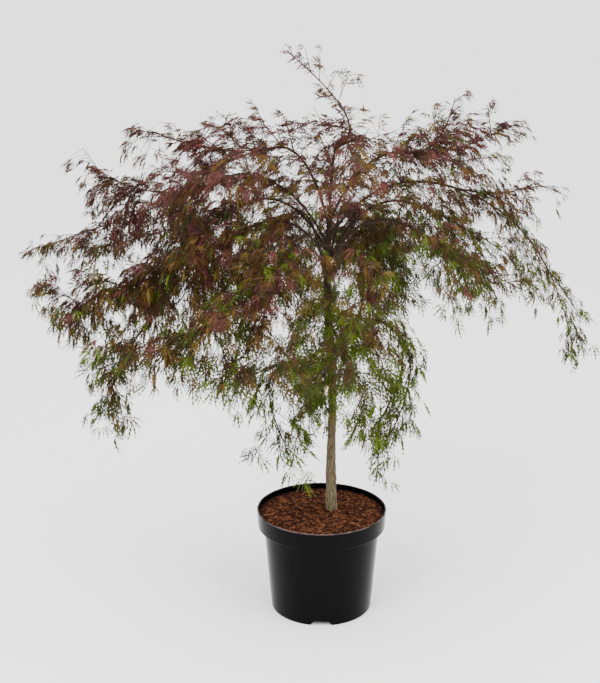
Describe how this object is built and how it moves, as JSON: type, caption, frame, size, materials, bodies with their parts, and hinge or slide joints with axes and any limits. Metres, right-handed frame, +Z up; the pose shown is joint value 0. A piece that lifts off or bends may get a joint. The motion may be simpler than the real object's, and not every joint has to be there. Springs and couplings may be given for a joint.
{
  "type": "potted japanese maple",
  "caption": "Small weeping laceleaf maple grown as a standard in a round black nursery pot, with arching boughs and hanging finely cut burgundy, bronze and green leaves.",
  "frame": {"origin": "centre of the pot's flat underside", "axes": "+Z up along the pot's axis, -Y towards the front, +X to the right seen from the front"},
  "size_m": [1.2008, 0.9732, 1.1908],
  "materials": {
    "pot_plastic": "smooth glossy black moulded plastic",
    "compost": "loose reddish-brown bark and fibre compost",
    "bark": "grey-brown bark with lichen near the foot",
    "leaf_burgundy": "thin satin leaves, burgundy",
    "leaf_bronze": "thin satin leaves, bronze",
    "leaf_green": "thin satin leaves, fresh green"
  },
  "bodies": {
    "root": {"pot": "pot_plastic", "compost": "compost", "trunk": "bark", "bough_top": "bark", "bough_top_left": "bark", "bough_top_right": "bark", "bough_left": "bark", "bough_left_front": "bark", "bough_left_back": "bark", "bough_front_left": "bark", "bough_front": "bark", "bough_right_front": "bark", "bough_right": "bark", "bough_right_back": "bark", "bough_back": "bark", "bough_back_left": "bark", "bough_low_left": "bark", "bough_low_right": "bark", "bough_low_front": "bark", "bough_low_back": "bark", "leader_shoot": "leaf_burgundy", "cap_back": "leaf_burgundy", "cap_front": "leaf_burgundy", "cap_left": "leaf_burgundy", "cap_left_front": "leaf_burgundy", "cap_left_back": "leaf_burgundy", "upper_right_shoot": "leaf_burgundy", "cap_right_front": "leaf_burgundy", "cap_right": "leaf_burgundy", "cap_right_back": "leaf_burgundy", "left_shoulder": "leaf_burgundy", "left_tip": "leaf_bronze", "left_curtain": "leaf_bronze", "left_front_curtain": "leaf_bronze", "left_back_shoulder": "leaf_bronze", "left_back_curtain": "leaf_bronze", "front_left_shoulder": "leaf_bronze", "front_left_curtain": "leaf_bronze", "front_curtain": "leaf_bronze", "front_right_curtain": "leaf_bronze", "right_front_curtain": "leaf_bronze", "right_front_shoulder": "leaf_bronze", "right_tip": "leaf_bronze", "right_shoulder": "leaf_burgundy", "right_back_shoulder": "leaf_bronze", "right_back_curtain": "leaf_bronze", "back_right_curtain": "leaf_bronze", "back_curtain": "leaf_bronze", "back_left_curtain": "leaf_bronze", "back_left_shoulder": "leaf_bronze", "low_left_inner": "leaf_green", "low_left_outer": "leaf_green", "low_right_inner": "leaf_green", "low_right_outer": "leaf_green", "low_front_left": "leaf_green", "low_front_right": "leaf_green", "low_back_left": "leaf_green", "low_back_right": "leaf_green"}
  },
  "joints": []
}
